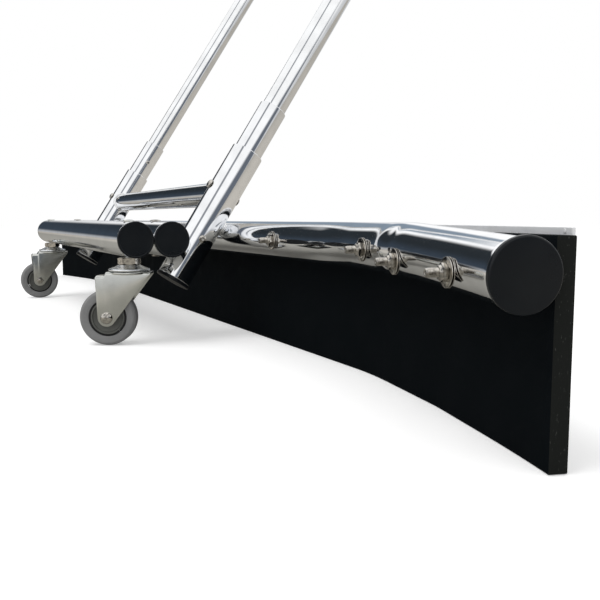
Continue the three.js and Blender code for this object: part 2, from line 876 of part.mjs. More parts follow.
function ringGeometry() {
  const half = wheel.width / 2 - wheelRing.inset;
  return turned(
    [
      [wheelRing.inner, -half],
      [wheelRing.outer, -half],
      [wheelRing.outer, half],
      [wheelRing.inner, half],
      [wheelRing.inner, -half],
    ],
    wheelSides,
  );
}

// The bolt's domed head is on the side that faces away from the middle of the squeegee.
function axleBoltGeometry() {
  const face = forkWidth / 2 + faceGap;
  const end = -face - axle.nutHeight - axle.stickOut;
  return turned(
    [
      [0, end],
      [axle.radius, end],
      [axle.radius, face],
      [axle.headRadius, face],
      [axle.crownRadius, face + axle.headHeight],
      [0, face + axle.headHeight],
    ],
    boltSides,
  );
}

function axleNutGeometry() {
  const face = forkWidth / 2 + faceGap;
  const low = -face - axle.nutHeight;
  return cut(hexagon(axle.nutAcross, low, -face), [bar(axle.radius + faceGap, 2 * low, 0, boltSides)]);
}

function addCastors(parent) {
  for (const { name, sign } of sides) {
    const label = (part) => "castor_" + name + "_" + part;
    const fixed = new THREE.Group();
    fixed.position.set(sign * castorStation, frontTubeY, 0);
    fixed.add(piece(label("stem"), stemGeometry(), "zinc"));
    fixed.add(piece(label("spacer"), spacerGeometry(), "steel"));
    fixed.add(piece(label("bearing"), cupGeometry(), "zinc"));

    const swivel = new THREE.Group();
    swivel.rotation.z = castorTurn[name];
    swivel.add(piece(label("fork"), forkGeometry(), "zinc"));
    const onAxle = new THREE.Group();
    onAxle.position.set(0, -castor.trail, wheel.radius);
    onAxle.rotation.y = (sign * Math.PI) / 2;
    onAxle.add(piece(label("axle"), axleBoltGeometry(), "steel"));
    onAxle.add(piece(label("axle_nut"), axleNutGeometry(), "steel"));
    onAxle.add(piece(label("tyre"), tyreGeometry(), "tyreGrey"));
    onAxle.add(piece(label("ring"), ringGeometry(), "ringBlack"));
    onAxle.add(piece(label("hub"), hubGeometry(), "hubGrey"));
    swivel.add(onAxle);
    fixed.add(swivel);
    parent.add(fixed);
  }
}

// ---------------------------------------------------------------- the whole squeegee

const squeegee = new THREE.Group();
squeegee.add(mainTube(), rubberBlade(), clampStrip());
addMainCaps(squeegee);
addBladeBolts(squeegee);
addCastorTubes(squeegee);
addRearTubeBolts(squeegee);
addUprights(squeegee);
addCastors(squeegee);

export default squeegee;
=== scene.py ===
import json
import math

import bpy
import numpy as np
from mathutils import Matrix, Vector


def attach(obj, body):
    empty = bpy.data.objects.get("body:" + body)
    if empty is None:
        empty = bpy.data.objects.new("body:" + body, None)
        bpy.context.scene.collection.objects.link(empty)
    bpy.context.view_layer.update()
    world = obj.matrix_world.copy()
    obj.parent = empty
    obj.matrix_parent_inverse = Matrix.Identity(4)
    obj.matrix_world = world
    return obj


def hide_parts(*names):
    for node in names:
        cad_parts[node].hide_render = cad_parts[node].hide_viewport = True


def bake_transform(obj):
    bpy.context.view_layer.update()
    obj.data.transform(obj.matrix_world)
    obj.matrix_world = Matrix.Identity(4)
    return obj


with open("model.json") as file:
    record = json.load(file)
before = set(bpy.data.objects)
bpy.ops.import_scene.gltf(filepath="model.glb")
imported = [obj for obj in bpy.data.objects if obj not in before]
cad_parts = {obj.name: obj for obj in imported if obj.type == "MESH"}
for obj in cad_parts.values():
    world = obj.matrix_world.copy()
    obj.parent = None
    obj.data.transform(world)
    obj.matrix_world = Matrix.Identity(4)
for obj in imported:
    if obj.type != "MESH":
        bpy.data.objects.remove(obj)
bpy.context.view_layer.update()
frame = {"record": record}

# A wheeled court squeegee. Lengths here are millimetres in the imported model's frame; meshes are in metres.

MM = 0.001
record = frame["record"]
BODY = {node: body for body, nodes in record["behaviour"]["bodies"].items() for node in nodes}
SLOT = {part["node"]: part["material_slot"] for part in record["subparts"]}
SIDES = (("right", 1), ("left", -1))

FACE_GAP = 0.3  # between faces that touch
TUBE_R, TUBE_BORE = 25.4, 22.4
MIDDLE_R, MIDDLE_BORE = 22.1, 19.5
HANDLE_R, HANDLE_BORE = 19.05, 17.05
TUBE_Z = 150.5
PATH_END = 1044.0  # of the main tube, from its middle
# the main tube's bends on each side: where each starts along the tube, its length and its angle
BENDS = ((655.0, 75.0, math.radians(9)), (838.0, 16.0, math.radians(4)), (940.0, 104.0, math.radians(3)))
KINK = 846.0  # the middle of the sharp bend, where the wall buckles
# each wing droops over its last stretch DIP, slowly at first, by DIP_DEPTH at its end
DIP, DIP_DEPTH, DIP_POWER = 214.0, 8.5, 1.2
# an inset is measured from the main tube's end
BLADE_T, BLADE_H, BLADE_INSET = 15.0, 168.3, 3.0
STRIP_T, STRIP_H, STRIP_PROUD, STRIP_INSET = 3.0, 62.0, 5.5, 10.5
CASTOR_TUBE = 800.0
LEAN = math.radians(32.5)
SPACING = 670.0  # between the two uprights
# along an upright, from its crossing with the main tube
SLEEVE = (-104.0, 122.0)
MIDDLE = (-50.0, 204.0)
HANDLE_FOOT, HANDLE_TOP, CORNER = 112.0, 950.0, 110.0
BRACE_R, BRACE_WALL, BRACE_STATION = 19.05, 2.0, 46.5
BOLT_STATION, RIVET_STATION, BUTTON_STATION = 48.0, -34.0, 157.0
CASTOR_X, TRAIL, WHEEL_R = 363.0, 30.5, 40.0
CASTOR_TURN = {"right": math.radians(-25), "left": math.radians(-4)}
# each blade bolt's name, its distance along the tube and its height over the tube's axis
BLADE_BOLTS = (("middle", 0, 0), ("inner", 250, 0), ("second", 532, 1), ("third", 785, -1.5),
               ("fourth", 866, -8), ("outer", 978, -5.5))
BOLT_R, NUT_ACROSS, NUT_HEIGHT, NUT_BORE = 4.0, 13.0, 6.5, 3.6

REACH = 2 * TUBE_R + FACE_GAP
MAIN_Y = -(BLADE_T / 2 + FACE_GAP + TUBE_R)
REAR_Y = MAIN_Y - 2 * REACH / math.cos(LEAN)
FRONT_Y = REAR_Y - REACH

# ---------------------------------------------------------------- shader graphs


class Graph:
    """A shader tree and short ways to add to it. An input is a plain value or the socket that feeds it."""

    def __init__(self, tree):
        self.tree = tree
        tree.nodes.clear()

    def feed(self, socket, value):
        if isinstance(value, bpy.types.NodeSocket):
            self.tree.links.new(value, socket)
        else:
            socket.default_value = value

    def node(self, kind, inputs=None, **settings):
        made = self.tree.nodes.new(kind)
        for key, value in settings.items():
            setattr(made, key, value)
        for key, value in (inputs or {}).items():
            self.feed(made.inputs[key], value)
        return made

    def shader(self, kind, inputs):
        return self.node("ShaderNode" + kind, inputs).outputs[0]

    def math(self, operation, a, b=0.0):
        return self.node("ShaderNodeMath", {0: a, 1: b}, operation=operation).outputs[0]

    def times(self, a, b):
        return self.math("MULTIPLY", a, b)

    def plus(self, a, b):
        return self.math("ADD", a, b)

    def ramp(self, value, low, high, to_low=0.0, to_high=1.0, kind="SMOOTHSTEP"):
        inputs = {"Value": value, "From Min": low, "From Max": high, "To Min": to_low, "To Max": to_high}
        return self.node("ShaderNodeMapRange", inputs, interpolation_type=kind).outputs[0]

    def mix(self, factor, a, b):
        """Colour a where factor is 0 and colour b where it is 1."""
        made = self.node("ShaderNodeMix", data_type="RGBA")
        for key, value in ((0, factor), (6, a), (7, b)):
            self.feed(made.inputs[key], (*value, 1) if isinstance(value, tuple) else value)
        return made.outputs[2]

    def grain(self, scale):
        """The piece's own coordinates in metres: along its axis, then across it."""
        place = self.node("ShaderNodeAttribute", attribute_name="grain").outputs["Vector"]
        return self.node("ShaderNodeMapping", {"Vector": place, "Scale": scale}).outputs[0]

    def noise(self, scale, detail, rough, offset=0.0):
        """Noise in the piece's own coordinates. scale is one number, or one for each direction."""
        place = self.grain(scale if isinstance(scale, tuple) else (scale, scale, scale))
        if offset:
            place = self.node("ShaderNodeVectorMath", {0: place, 1: (offset, offset, offset)}).outputs[0]
        inputs = {"Vector": place, "Scale": 1.0, "Detail": detail, "Roughness": rough}
        return self.node("ShaderNodeTexNoise", inputs).outputs[0]

    def bump(self, height, strength, distance):
        return self.shader("Bump", {"Strength": strength, "Distance": distance, "Height": height})


MATERIALS = {}


def surface(name, build, **sockets):
    """A material whose principled shader takes plain sockets, and the sockets that build(graph) makes."""
    made = bpy.data.materials.new(name)
    made.use_nodes = True
    graph = Graph(made.node_tree)
    shader = graph.shader("BsdfPrincipled", {**sockets, **build(graph)})
    graph.node("ShaderNodeOutputMaterial", {"Surface": shader})
    MATERIALS[name] = made


def metal(name, colour, rough, spread, streak, bump, cloud=30.0, dull=0.9, metallic=1.0):
    """Drawn or plated metal: streaks along the piece, and soft clouds of handling marks. Each roughens it by
    up to about spread, and the marks darken its colour to the share dull."""
    def build(graph):
        lines = graph.noise(streak, 4.0, 0.6)
        marks = graph.noise(cloud, 5.0, 0.6, 7.3)
        scuffs = graph.noise(cloud * 9, 2.0, 0.5, 3.1)
        wear = graph.times(graph.ramp(marks, 0.45, 0.75), spread)
        lined = graph.times(graph.ramp(lines, 0.3, 0.8), spread * 0.8)
        height = graph.plus(lines, graph.times(scuffs, 0.35))
        marked = tuple(c * dull for c in colour)
        return {"Base Color": graph.mix(graph.ramp(marks, 0.35, 0.7), colour, marked),
                "Roughness": graph.plus(graph.plus(wear, lined), rough),
                "Normal": graph.bump(height, bump, 0.0002)}
    surface(name, build, Metallic=metallic)


def matte(name, colour, other, rough, spread, scale, bump, specular, distance=0.0003, cut=None):
    """Rubber or moulded plastic: two close colours in clouds, and a fine grain. cut is for sawn ends: how far
    along the piece they are in metres, their colour and the colour of their specks."""
    def build(graph):
        marks = graph.noise(25.0, 4.0, 0.6, 2.2)
        pores = graph.noise(scale, 2.0, 0.55)
        shade = graph.mix(graph.ramp(marks, 0.35, 0.7), colour, other)
        if cut:
            along = graph.node("ShaderNodeSeparateXYZ", {0: graph.grain((1, 1, 1))}).outputs[0]
            end = graph.math("GREATER_THAN", graph.math("ABSOLUTE", along), cut[0])
            specks = graph.ramp(graph.noise((700, 700, 260), 2.0, 0.7, 5.0), 0.64, 0.74)
            shade = graph.mix(end, shade, graph.mix(specks, cut[1], cut[2]))
        return {"Base Color": shade,
                "Roughness": graph.ramp(marks, 0.3, 0.7, rough - spread, rough + spread, "LINEAR"),
                "Normal": graph.bump(pores, bump, distance)}
    surface(name, build, **{"Specular IOR Level": specular})


metal("bright_aluminium", (0.87, 0.88, 0.895), rough=0.04, spread=0.045, streak=(3, 260, 260), bump=0.03)
metal("strip_aluminium", (0.92, 0.925, 0.935), rough=0.34, spread=0.1, streak=(3, 420, 420), bump=0.1,
      metallic=0.5)
metal("handle_aluminium", (0.87, 0.88, 0.89), rough=0.08, spread=0.05, streak=(3, 300, 300), bump=0.03)
metal("weld", (0.93, 0.935, 0.94), rough=0.3, spread=0.08, streak=(200, 200, 200), bump=0.04)
metal("bolt_steel", (0.64, 0.61, 0.56), rough=0.06, spread=0.06, streak=(400, 400, 400), bump=0.05,
      cloud=200.0, dull=0.35)
metal("spring_steel", (0.5, 0.5, 0.52), rough=0.3, spread=0.1, streak=(20, 600, 600), bump=0.15, cloud=90.0)
metal("zinc", (0.64, 0.65, 0.62), rough=0.17, spread=0.05, streak=(40, 40, 40), bump=0.01,
      cloud=25.0, dull=0.86)
# a lighter, bluer copy of zinc for the castors' bearing cups: a painted highlight
metal("zinc_with_painted_highlight", (0.90, 0.93, 0.96), rough=0.2, spread=0.06, streak=(40, 40, 40), bump=0.01,
      cloud=25.0, dull=0.95)
SAWN_END = (PATH_END - BLADE_INSET - 0.4) * MM  # along the blade, in metres as the grain is
matte("blade_rubber", (0.0024, 0.0038, 0.0050), (0.0036, 0.0048, 0.0060), rough=0.75, spread=0.1, scale=900,
      bump=0.25, specular=0.03, cut=(SAWN_END, (0.0125, 0.0135, 0.0125), (0.05, 0.052, 0.048)))
matte("grip_foam", (0.012, 0.012, 0.013), (0.02, 0.02, 0.021), rough=0.85, spread=0.08, scale=700,
      bump=0.8, specular=0.2, distance=0.0006)
matte("cap_plastic", (0.0034, 0.0050, 0.0070), (0.0048, 0.0066, 0.0086), rough=0.3, spread=0.05, scale=1500,
      bump=0.08, specular=0.24)
matte("wheel_tyre", (0.195, 0.195, 0.195), (0.165, 0.165, 0.165), rough=0.6, spread=0.1, scale=1100,
      bump=0.2, specular=0.3)
matte("wheel_ring", (0.008, 0.008, 0.009), (0.014, 0.014, 0.015), rough=0.6, spread=0.1, scale=900,
      bump=0.2, specular=0.3)
matte("wheel_hub", (0.088, 0.09, 0.082), (0.07, 0.071, 0.064), rough=0.45, spread=0.08, scale=1200,
      bump=0.12, specular=0.35)

# ---------------------------------------------------------------- shapes: (points, faces, grain)


def around(sides):
    return np.arange(sides) * 2 * math.pi / sides


def rounded(corners, steps, closed=True):
    """A polyline of (a, b, r) corners, each rounded by its r. An open one keeps its two ends as they are."""
    out = []
    for i, (a, b, r) in enumerate(corners):
        corner = np.array((a, b), float)
        if r <= 0 or (not closed and i in (0, len(corners) - 1)):
            out.append(corner)
            continue
        back = np.array(corners[i - 1][:2], float) - corner
        ahead = np.array(corners[(i + 1) % len(corners)][:2], float) - corner
        room = 0.49 * min(np.linalg.norm(back), np.linalg.norm(ahead))  # just under half of a side
        back, ahead = back / np.linalg.norm(back), ahead / np.linalg.norm(ahead)
        half = math.acos(max(-1, min(1, back @ ahead))) / 2
        cut = min(r / math.tan(half), room)
        radius = cut * math.tan(half)
        centre = corner + (back + ahead) / np.linalg.norm(back + ahead) * radius / math.sin(half)
        first, last = corner + back * cut - centre, corner + ahead * cut - centre
        start, end = math.atan2(first[1], first[0]), math.atan2(last[1], last[0])
        sweep = (end - start + math.pi) % (2 * math.pi) - math.pi
        for step in range(steps + 1):
            angle = start + sweep * step / steps
            out.append(centre + radius * np.array((math.cos(angle), math.sin(angle))))
    return [tuple(p) for p in out]


def mirrored(outline):
    """Half an outline of (radius, z, r) corners and its mirror image over z = 0."""
    return outline + [(radius, -z, r) for radius, z, r in reversed(outline)]


def loft(rings, grain, closed_rings=False, cap=True):
    """Rings of equal length joined in order. The ends get a face each, or the last ring joins the first."""
    rings = np.asarray(rings, float)
    count, sides = rings.shape[:2]
    index = np.arange(count * sides).reshape(count, sides)
    faces = []
    for i in range(count if closed_rings else count - 1):
        a, b = index[i], index[(i + 1) % count]
        for j in range(sides):
            k = (j + 1) % sides
            faces.append((a[j], a[k], b[k], b[j]))
    if cap and not closed_rings:
        faces.append(tuple(index[0][::-1]))
        faces.append(tuple(index[-1]))
    return rings.reshape(-1, 3), faces, np.asarray(grain, float).reshape(-1, 3)


def along_z(points, faces):
    """A shape whose grain runs along Z."""
    return points, faces, points[:, [2, 0, 1]].copy()


def turned(profile, sides, warp=None, closed=True):
    """A profile of (radius, z) turned about Z. Where it isn't closed, it starts and ends on the axis.
    warp(radius, z, phi) gives the radii of a ring that isn't round."""
    phi = around(sides)
    rings = []
    for radius, z in profile:
        radii = warp(radius, z, phi) if warp else np.full(sides, float(radius))
        rings.append(np.stack([radii * np.cos(phi), radii * np.sin(phi), np.full(sides, float(z))], 1))
    if closed:
        points, faces, _ = loft(rings, rings, closed_rings=True)
        return along_z(points, faces)
    points, faces, _ = loft(rings[1:-1], rings[1:-1], cap=False)
    low, high = len(points), len(points) + 1
    points = np.vstack([points, [[0, 0, profile[0][1]], [0, 0, profile[-1][1]]]])
    last = low - sides
    for j in range(sides):
        k = (j + 1) % sides
        faces += [(low, k, j), (high, last + j, last + k)]
    return along_z(points, faces)


def hollow(outline, steps, sides):
    """A closed outline of (radius, z, r) corners, rounded and turned about Z."""
    return turned(rounded(outline, steps), sides)


def solid(outline, steps, sides):
    """The same for an outline that starts and ends on the axis."""
    return turned(rounded(outline, steps, closed=False), sides, closed=False)


def pin(radius, head, low, face, high, foot=0.0, foot_height=0.0):
    """A pin along Z from low to a domed head on the face, and a low round foot against the other face."""
    outline, foot_top = [(0, low, 0)], low + foot_height
    if foot:
        outline += [(foot * 0.7, low, 0.8), (foot, low + foot_height * 0.6, 0.5), (foot, foot_top, 0)]
    outline += [(radius, foot_top, 0), (radius, face, 0), (head, face, 0.2)]
    rim = 0.25  # the share of the head's height below its dome
    for angle in np.arange(6) / 4:
        height = (high - face) * (rim + (1 - rim) * math.sin(angle))
        outline.append((head * math.cos(angle), face + height, 0))
    return solid(outline + [(0, high, 0)], 3, 48)


def hexagon(across, low, high, bore):
    """A hexagon nut along Z, with its corners turned off and its bore chamfered."""
    flat, face_r, chamfer = across / 2, across / 2 * 0.93, 0.6
    phi = around(72)
    corner = flat / np.cos((phi + math.pi / 6) % (math.pi / 3) - math.pi / 6)
    edge = np.clip(corner - flat * 0.985, 0, None) * math.tan(math.radians(30))
    outline = [(bore, low + chamfer), (bore + chamfer, low), (face_r, low), (corner, low + edge),
               (corner, high - edge), (face_r, high), (bore + chamfer, high), (bore, high - chamfer)]
    rings = [np.stack([radius * np.cos(phi), radius * np.sin(phi), z + 0 * phi], 1) for radius, z in outline]
    points, faces, _ = loft(rings, rings, closed_rings=True)
    return along_z(points, faces)


def joined(*shapes):
    points, faces, grain, base = [], [], [], 0
    for p, f, g in shapes:
        points.append(p)
        grain.append(g)
        faces += [tuple(i + base for i in face) for face in f]
        base += len(p)
    return np.vstack(points), faces, np.vstack(grain)


def placed(shape, matrix):
    points, faces, grain = shape
    m = np.array(matrix, float)
    return points @ m[:3, :3].T + m[:3, 3], faces, grain


def mesh_of(name, shape):
    points, faces, grain = shape
    mesh = bpy.data.meshes.new(name)
    mesh.from_pydata((points * MM).tolist(), [], [tuple(int(i) for i in f) for f in faces])
    stored = mesh.attributes.new("grain", "FLOAT_VECTOR", "POINT")
    stored.data.foreach_set("vector", (grain * MM).astype(np.float32).ravel())
    mesh.validate()
    return mesh


def piece(name, shape, like, at=None, look=None, stands_for=(), sharp=35.0, bends=None):
    """A shown piece that rides with the CAD node like, and stands for the nodes in stands_for. look names its
    material where that isn't the node's own. bends holds two bodies and the points where each takes over,
    for a piece that lies between them; only whether it is given is used, and then the piece stays where it
    is, on neither body."""
    if at is not None:
        shape = placed(shape, at)
    mesh = mesh_of(name, shape)
    made = bpy.data.objects.new(name, mesh)
    bpy.context.scene.collection.objects.link(made)
    mesh.materials.append(MATERIALS[look or SLOT[like]])
    mesh.shade_smooth()
    mesh.set_sharp_from_angle(angle=math.radians(sharp))
    if bends:
        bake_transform(made)
    else:
        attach(made, BODY[like])
    if stands_for:
        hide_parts(*stands_for)
    return made


def fine(node, shape, at=None, **settings):
    """The finished form of one CAD node."""
    return piece(node + "_fine", shape, node, at, stands_for=(node,), **settings)


def move(x, y, z):
    return Matrix.Translation((x, y, z))


def turn(axis, angle):
    return Matrix.Rotation(angle, 4, axis)


# ---------------------------------------------------------------- the plan of the main tube


def plan(s):
    """Centre line of the main tube: x, y and the angle that it has turned by."""
    along = abs(s)
    x = y = angle = reached = 0.0
    for start, length, bend in BENDS:
        if along <= start:
            break
        x += (start - reached) * math.cos(angle)
        y -= (start - reached) * math.sin(angle)
        bent = min(along - start, length)
        after = angle + bend * bent / length
        x += (math.sin(after) - math.sin(angle)) * length / bend
        y -= (math.cos(angle) - math.cos(after)) * length / bend
        angle, reached = after, start + bent
    x += (along - reached) * math.cos(angle)
    y -= (along - reached) * math.sin(angle)
    side = 1 if s >= 0 else -1
    return side * x, MAIN_Y + y, side * angle


def drop(s):
    """How far the main tube hangs below its straight part."""
    return DIP_DEPTH * max(0.0, 1 - (PATH_END - abs(s)) / DIP) ** DIP_POWER


def axis_frame(s):
    """Centre, sideways (towards the blade) and up at s along the main tube."""
    x, y, a = plan(s)
    centre = np.array((x, y, TUBE_Z - drop(s)))
    near = 0.5  # half of the millimetre that the slope is taken over
    slope = -(drop(abs(s) + near) - drop(max(0, abs(s) - near))) * (1 if s >= 0 else -1)
    tangent = np.array((math.cos(a), -math.sin(a), slope))
    tangent /= np.linalg.norm(tangent)
    side = np.array((math.sin(a), math.cos(a), 0.0))
    return centre, side, np.cross(tangent, side)


def stepped(*marks):
    """Stations from the first mark to the last. A mark is a position and the step from there to the next."""
    out = []
    for (a, step), (b, _) in zip(marks, marks[1:]):
        n = max(1, round((b - a) / step))
        out += [a + (b - a) * i / n for i in range(n)]
    return out + [marks[-1][0]]


def both_ways(half):
    """Stations from 0 outwards, and the same ones to the other side."""
    return [-s for s in half[:0:-1]] + half


def pipe(stations, frame_at, radius, bore, sides=96, warp=None):
    """A hollow tube with its ends' edges rounded. frame_at(s) gives the path's centre at a station and its
    two directions across, and warp(s, phi) adds to the outer radius."""
    phi = around(sides)
    edge = 0.6
    lip = [(0.0, edge), (0.3 * edge, 0.3 * edge), (edge, 0.0)]  # back from the end, and in from the face
    first, last = stations[0], stations[-1]
    between = [s for s in stations if first + edge < s < last - edge]
    outer = [(first + back, radius - inward) for back, inward in lip]
    outer += [(s, radius) for s in between]
    outer += [(last - back, radius - inward) for back, inward in reversed(lip)]
    inner = [(last, bore + edge), (last - edge, bore)]
    inner += [(s, bore) for s in reversed(between)]
    inner += [(first + edge, bore), (first, bore + edge)]
    rings, grain = [], []
    for number, (s, r) in enumerate(outer + inner):
        centre, side, up = frame_at(s)
        radii = np.full(sides, r)
        if warp and number < len(outer):
            radii = radii + warp(s, phi)
        rings.append(centre + np.outer(radii * np.cos(phi), side) + np.outer(radii * np.sin(phi), up))
        grain.append(np.stack([np.full(sides, s), r * np.cos(phi), r * np.sin(phi)], 1))
    return loft(rings, grain, closed_rings=True)


def straight(low, high, radius, bore):
    """A straight tube along Z."""
    def at(s):
        return np.array((0, 0, s)), np.array((1, 0, 0)), np.array((0, 1, 0))
    return pipe([low, low + 1, high - 1, high], at, radius, bore)


# dents in the wall by each kink: the distance past the kink, the depth (below 0 the wall stands out), and the
# reach towards the tube's middle and towards its end
DENTS = ((-17.0, -2.6, 15.0, 50.0), (2.0, 0.8, 9.0, 12.0))
OVAL_REACH, OVAL_WIDER, OVAL_FLATTER = 38.0, 0.7, 1.0


def crease(s, phi):
    """The tube's wall where it was bent cold: it flattens and buckles on the inside of each bend."""
    front = np.clip(-np.cos(phi), 0, 1)  # the inside of the bend faces the castors
    out = np.zeros_like(phi)
    for offset, depth, inner, outer in DENTS:
        away = abs(s) - KINK - offset
        out -= depth * math.exp(-((away / (inner if away < 0 else outer)) ** 2)) * front ** 1.3
    oval = math.exp(-(((abs(s) - KINK) / OVAL_REACH) ** 2))
    return out + oval * (OVAL_WIDER * np.abs(np.sin(phi)) - OVAL_FLATTER * front)


def main_tube():
    half = stepped((0, 60), (640, 6), (740, 12), (790, 1.5), (900, 8), (PATH_END, 1))  # finest at the kink
    fine("main_tube", pipe(both_ways(half), axis_frame, TUBE_R, TUBE_BORE, warp=crease))


def bar_along(inset, offset, thickness, low, high, edge, corner):
    """A plate that stands upright beside the main tube, with finer stations where it bends. Its long edges
    are rounded by corner, and its ends by edge."""
    corners = ((0, low), (0, high), (thickness, high), (thickness, low))
    section = rounded([(x, z, corner) for x, z in corners], 4)
    middle = np.array((thickness / 2, (low + high) / 2))
    last = PATH_END - inset
    stations = both_ways(stepped((0, 80), (645, 6), (740, 20), (830, 2), (860, 20), (930, 10), (last, 1)))
    places = [(-last, edge), (-last + 0.3 * edge, 0.3 * edge), (-last + edge, 0)]
    places += [(s, 0) for s in stations if -last + edge < s < last - edge]
    places += [(last - edge, 0), (last - 0.3 * edge, 0.3 * edge), (last, edge)]
    rings, grain = [], []
    for s, smaller in places:
        x, y, a = plan(s)
        side = np.array((math.sin(a), math.cos(a), 0.0))
        shrink = 1 - smaller / np.array((thickness / 2, (high - low) / 2))
        ring = [(middle + (np.array(p) - middle) * shrink) for p in section]
        rings.append([np.array((x, y, 0)) + side * (offset + p[0]) + np.array((0, 0, p[1])) for p in ring])
        grain.append([(s, p[0], p[1]) for p in ring])
    return loft(rings, grain)


def blade_and_strip():
    fine("rubber_blade", bar_along(BLADE_INSET, TUBE_R + FACE_GAP, BLADE_T, 0, BLADE_H, edge=0.8, corner=0.9))
    top = BLADE_H + STRIP_PROUD
    offset = TUBE_R + 2 * FACE_GAP + BLADE_T
    fine("clamp_strip", bar_along(STRIP_INSET, offset, STRIP_T, top - STRIP_H, top, edge=0.6, corner=0.7))
    # a small screw through the strip above the blade, near each end
    from_end, below_top = 9, 2.9
    screw = pin(1.2, head=1.9, low=-2.5, face=0, high=0.6)
    for name, sign in SIDES:
        x, y, a = plan(sign * (PATH_END - STRIP_INSET - from_end))
        at = move(x, y, top - below_top) @ turn("Z", -a) @ move(0, offset, 0) @ turn("X", math.pi / 2)
        piece("strip_screw_" + name, screw, "clamp_strip", at)


# ---------------------------------------------------------------- bolts


def thread(radius, low, high):
    """A screw thread from z = low to high, as the (radius, z) rings and the warp that makes it wind."""
    pitch, depth, near = 1.25, 0.62, 1e-6
    parts = max(1, round((high - low) / (pitch / 5)))
    rings = [(radius, low + (high - low) * i / parts) for i in range(parts + 1)]
    def warp(r, z, phi):
        if abs(r - radius) > near or not low - near <= z <= high + near:
            return np.full(len(phi), float(r))
        wave = np.abs(((z / pitch - phi / (2 * math.pi)) % 1) * 2 - 1)
        return r - depth * np.clip(wave * 1.5 - 0.25, 0, 1)
    return rings, warp


def blade_bolts():
    """Bolts along Z: the head behind the strip, washers and a flanged nut in front of the main tube."""
    washer_gap, washer_stack, stud = 0.8, 1.8, 10.0
    strip_back = TUBE_R + 3 * FACE_GAP + BLADE_T + STRIP_T
    washer_front = -(TUBE_R + washer_gap) - washer_stack
    nut_end = washer_front - NUT_HEIGHT
    stud_end = nut_end - stud
    rings, warp = thread(BOLT_R, stud_end + 1.6, nut_end + 1)
    tip = [(0, stud_end), (1.3, stud_end + 0.5), (1.9, stud_end), (2.9, stud_end), (3.4, stud_end + 0.6)]
    inside = [(BOLT_R, washer_front), (BOLT_R, strip_back), (BOLT_R, strip_back + 1), (0, strip_back + 1)]
    shank = turned(tip + rings + inside, 28, warp, closed=False)
    hole, rim, sheet, apart = 4.4, 12, 0.7, 1.85
    washers = [hollow([(hole, z, 0.2), (hole, z + sheet, 0.2), (rim, z + sheet, 0.2), (rim, z, 0.3)], 4, 72)
               for z in (washer_front, washer_front + apart)]
    collar_bore, collar_r, collar_top = 3.7, 6.1, nut_end + 3.4
    collar = hollow([(collar_bore, nut_end + 0.2, 0.3), (5.0, nut_end, 1.0), (collar_r, nut_end + 2.4, 0.6),
                     (collar_r, collar_top, 0), (collar_bore, collar_top, 0)], 4, 48)
    nut = joined(hexagon(NUT_ACROSS, nut_end + 2.1, washer_front, NUT_BORE), collar)
    head = solid([(0, strip_back, 0), (8.5, strip_back, 0.3), (8.1, strip_back + 1.4, 1.4),
                  (4.5, strip_back + 4.0, 4), (0, strip_back + 4.2, 0)], 6, 48)
    for name, station, rise in BLADE_BOLTS:
        for suffix, sign in ([("_" + side, sign) for side, sign in SIDES] if station else [("", 1)]):
            x, y, a = plan(sign * station)
            spin = turn("Z", 0.35 + 0.7 * (station % 7) + 0.4 * sign)  # the nuts don't all stop alike
            at = move(x, y, TUBE_Z - drop(station) + rise) @ turn("Z", -a) @ turn("X", -math.pi / 2)
            fine("blade_bolt_" + name + suffix, joined(shank, *washers, placed(nut, spin), head), at)


def through_bolt(head, height):
    """A bolt through a tube along Z: a domed head on top and a low round foot below."""
    face, foot, foot_height = TUBE_R + FACE_GAP, 6.5, 1.6
    return pin(BOLT_R, head, -face - foot_height, face, face + height, foot, foot_height)


# ---------------------------------------------------------------- caps


def cap_shape(radius, edge=1.5, dish=0.0):
    """A moulded cap along +Z with a flange and a barrel inside the tube, which ends at z = 0."""
    flange, barrel, wall = 4.7, 22.0, 2.5
    bore = TUBE_BORE - 0.5
    top = FACE_GAP + flange
    recess = [(radius * 0.91, top, 0.3), (radius * 0.89, top - dish, 0.3)] if dish else []
    inside = [(0, FACE_GAP, 0), (bore - wall, FACE_GAP, 0), (bore - wall, -barrel, 0.4), (bore, -barrel, 0.6)]
    outside = [(bore, FACE_GAP, 0), (radius, FACE_GAP, 0.5), (radius, top, edge), *recess, (0, top - dish, 0)]
    return solid(inside + outside, 6, 80)


def main_caps():
    overlap = 1.95
    for name, sign in SIDES:
        centre, side, up = axis_frame(sign * PATH_END)
        out = Vector(np.cross(side, up) * sign)
        at = move(*centre) @ out.to_track_quat("Z", "Y").to_matrix().to_4x4()
        fine("main_cap_" + name, cap_shape(TUBE_R + overlap, edge=1.8), at)


# ---------------------------------------------------------------- castor tubes


def castor_tubes():
    half, bolt_from_end = CASTOR_TUBE / 2, 80
    for row, y in (("front", FRONT_Y), ("rear", REAR_Y)):
        lay = move(0, y, TUBE_Z) @ turn("Y", math.pi / 2)
        fine(row + "_tube", straight(-half, half, TUBE_R, TUBE_BORE), lay)
        for name, sign in SIDES:
            at = move(sign * half, y, TUBE_Z) @ turn("Y", sign * math.pi / 2)
            fine(row + "_cap_" + name, cap_shape(TUBE_R, dish=0.5), at)
    for name, sign in SIDES:
        at = move(sign * (half - bolt_from_end), REAR_Y, TUBE_Z)
        fine("rear_tube_bolt_" + name, through_bolt(head=8, height=2.2), at)


# ---------------------------------------------------------------- uprights and handle

PLANE = move(0, MAIN_Y - REACH * math.cos(LEAN), TUBE_Z + REACH * math.sin(LEAN)) @ turn("X", -LEAN)
LEG, QUARTER, BAR = HANDLE_TOP - CORNER - HANDLE_FOOT, CORNER * math.pi / 2, SPACING - 2 * CORNER
HANDLE_LENGTH = 2 * (LEG + QUARTER) + BAR
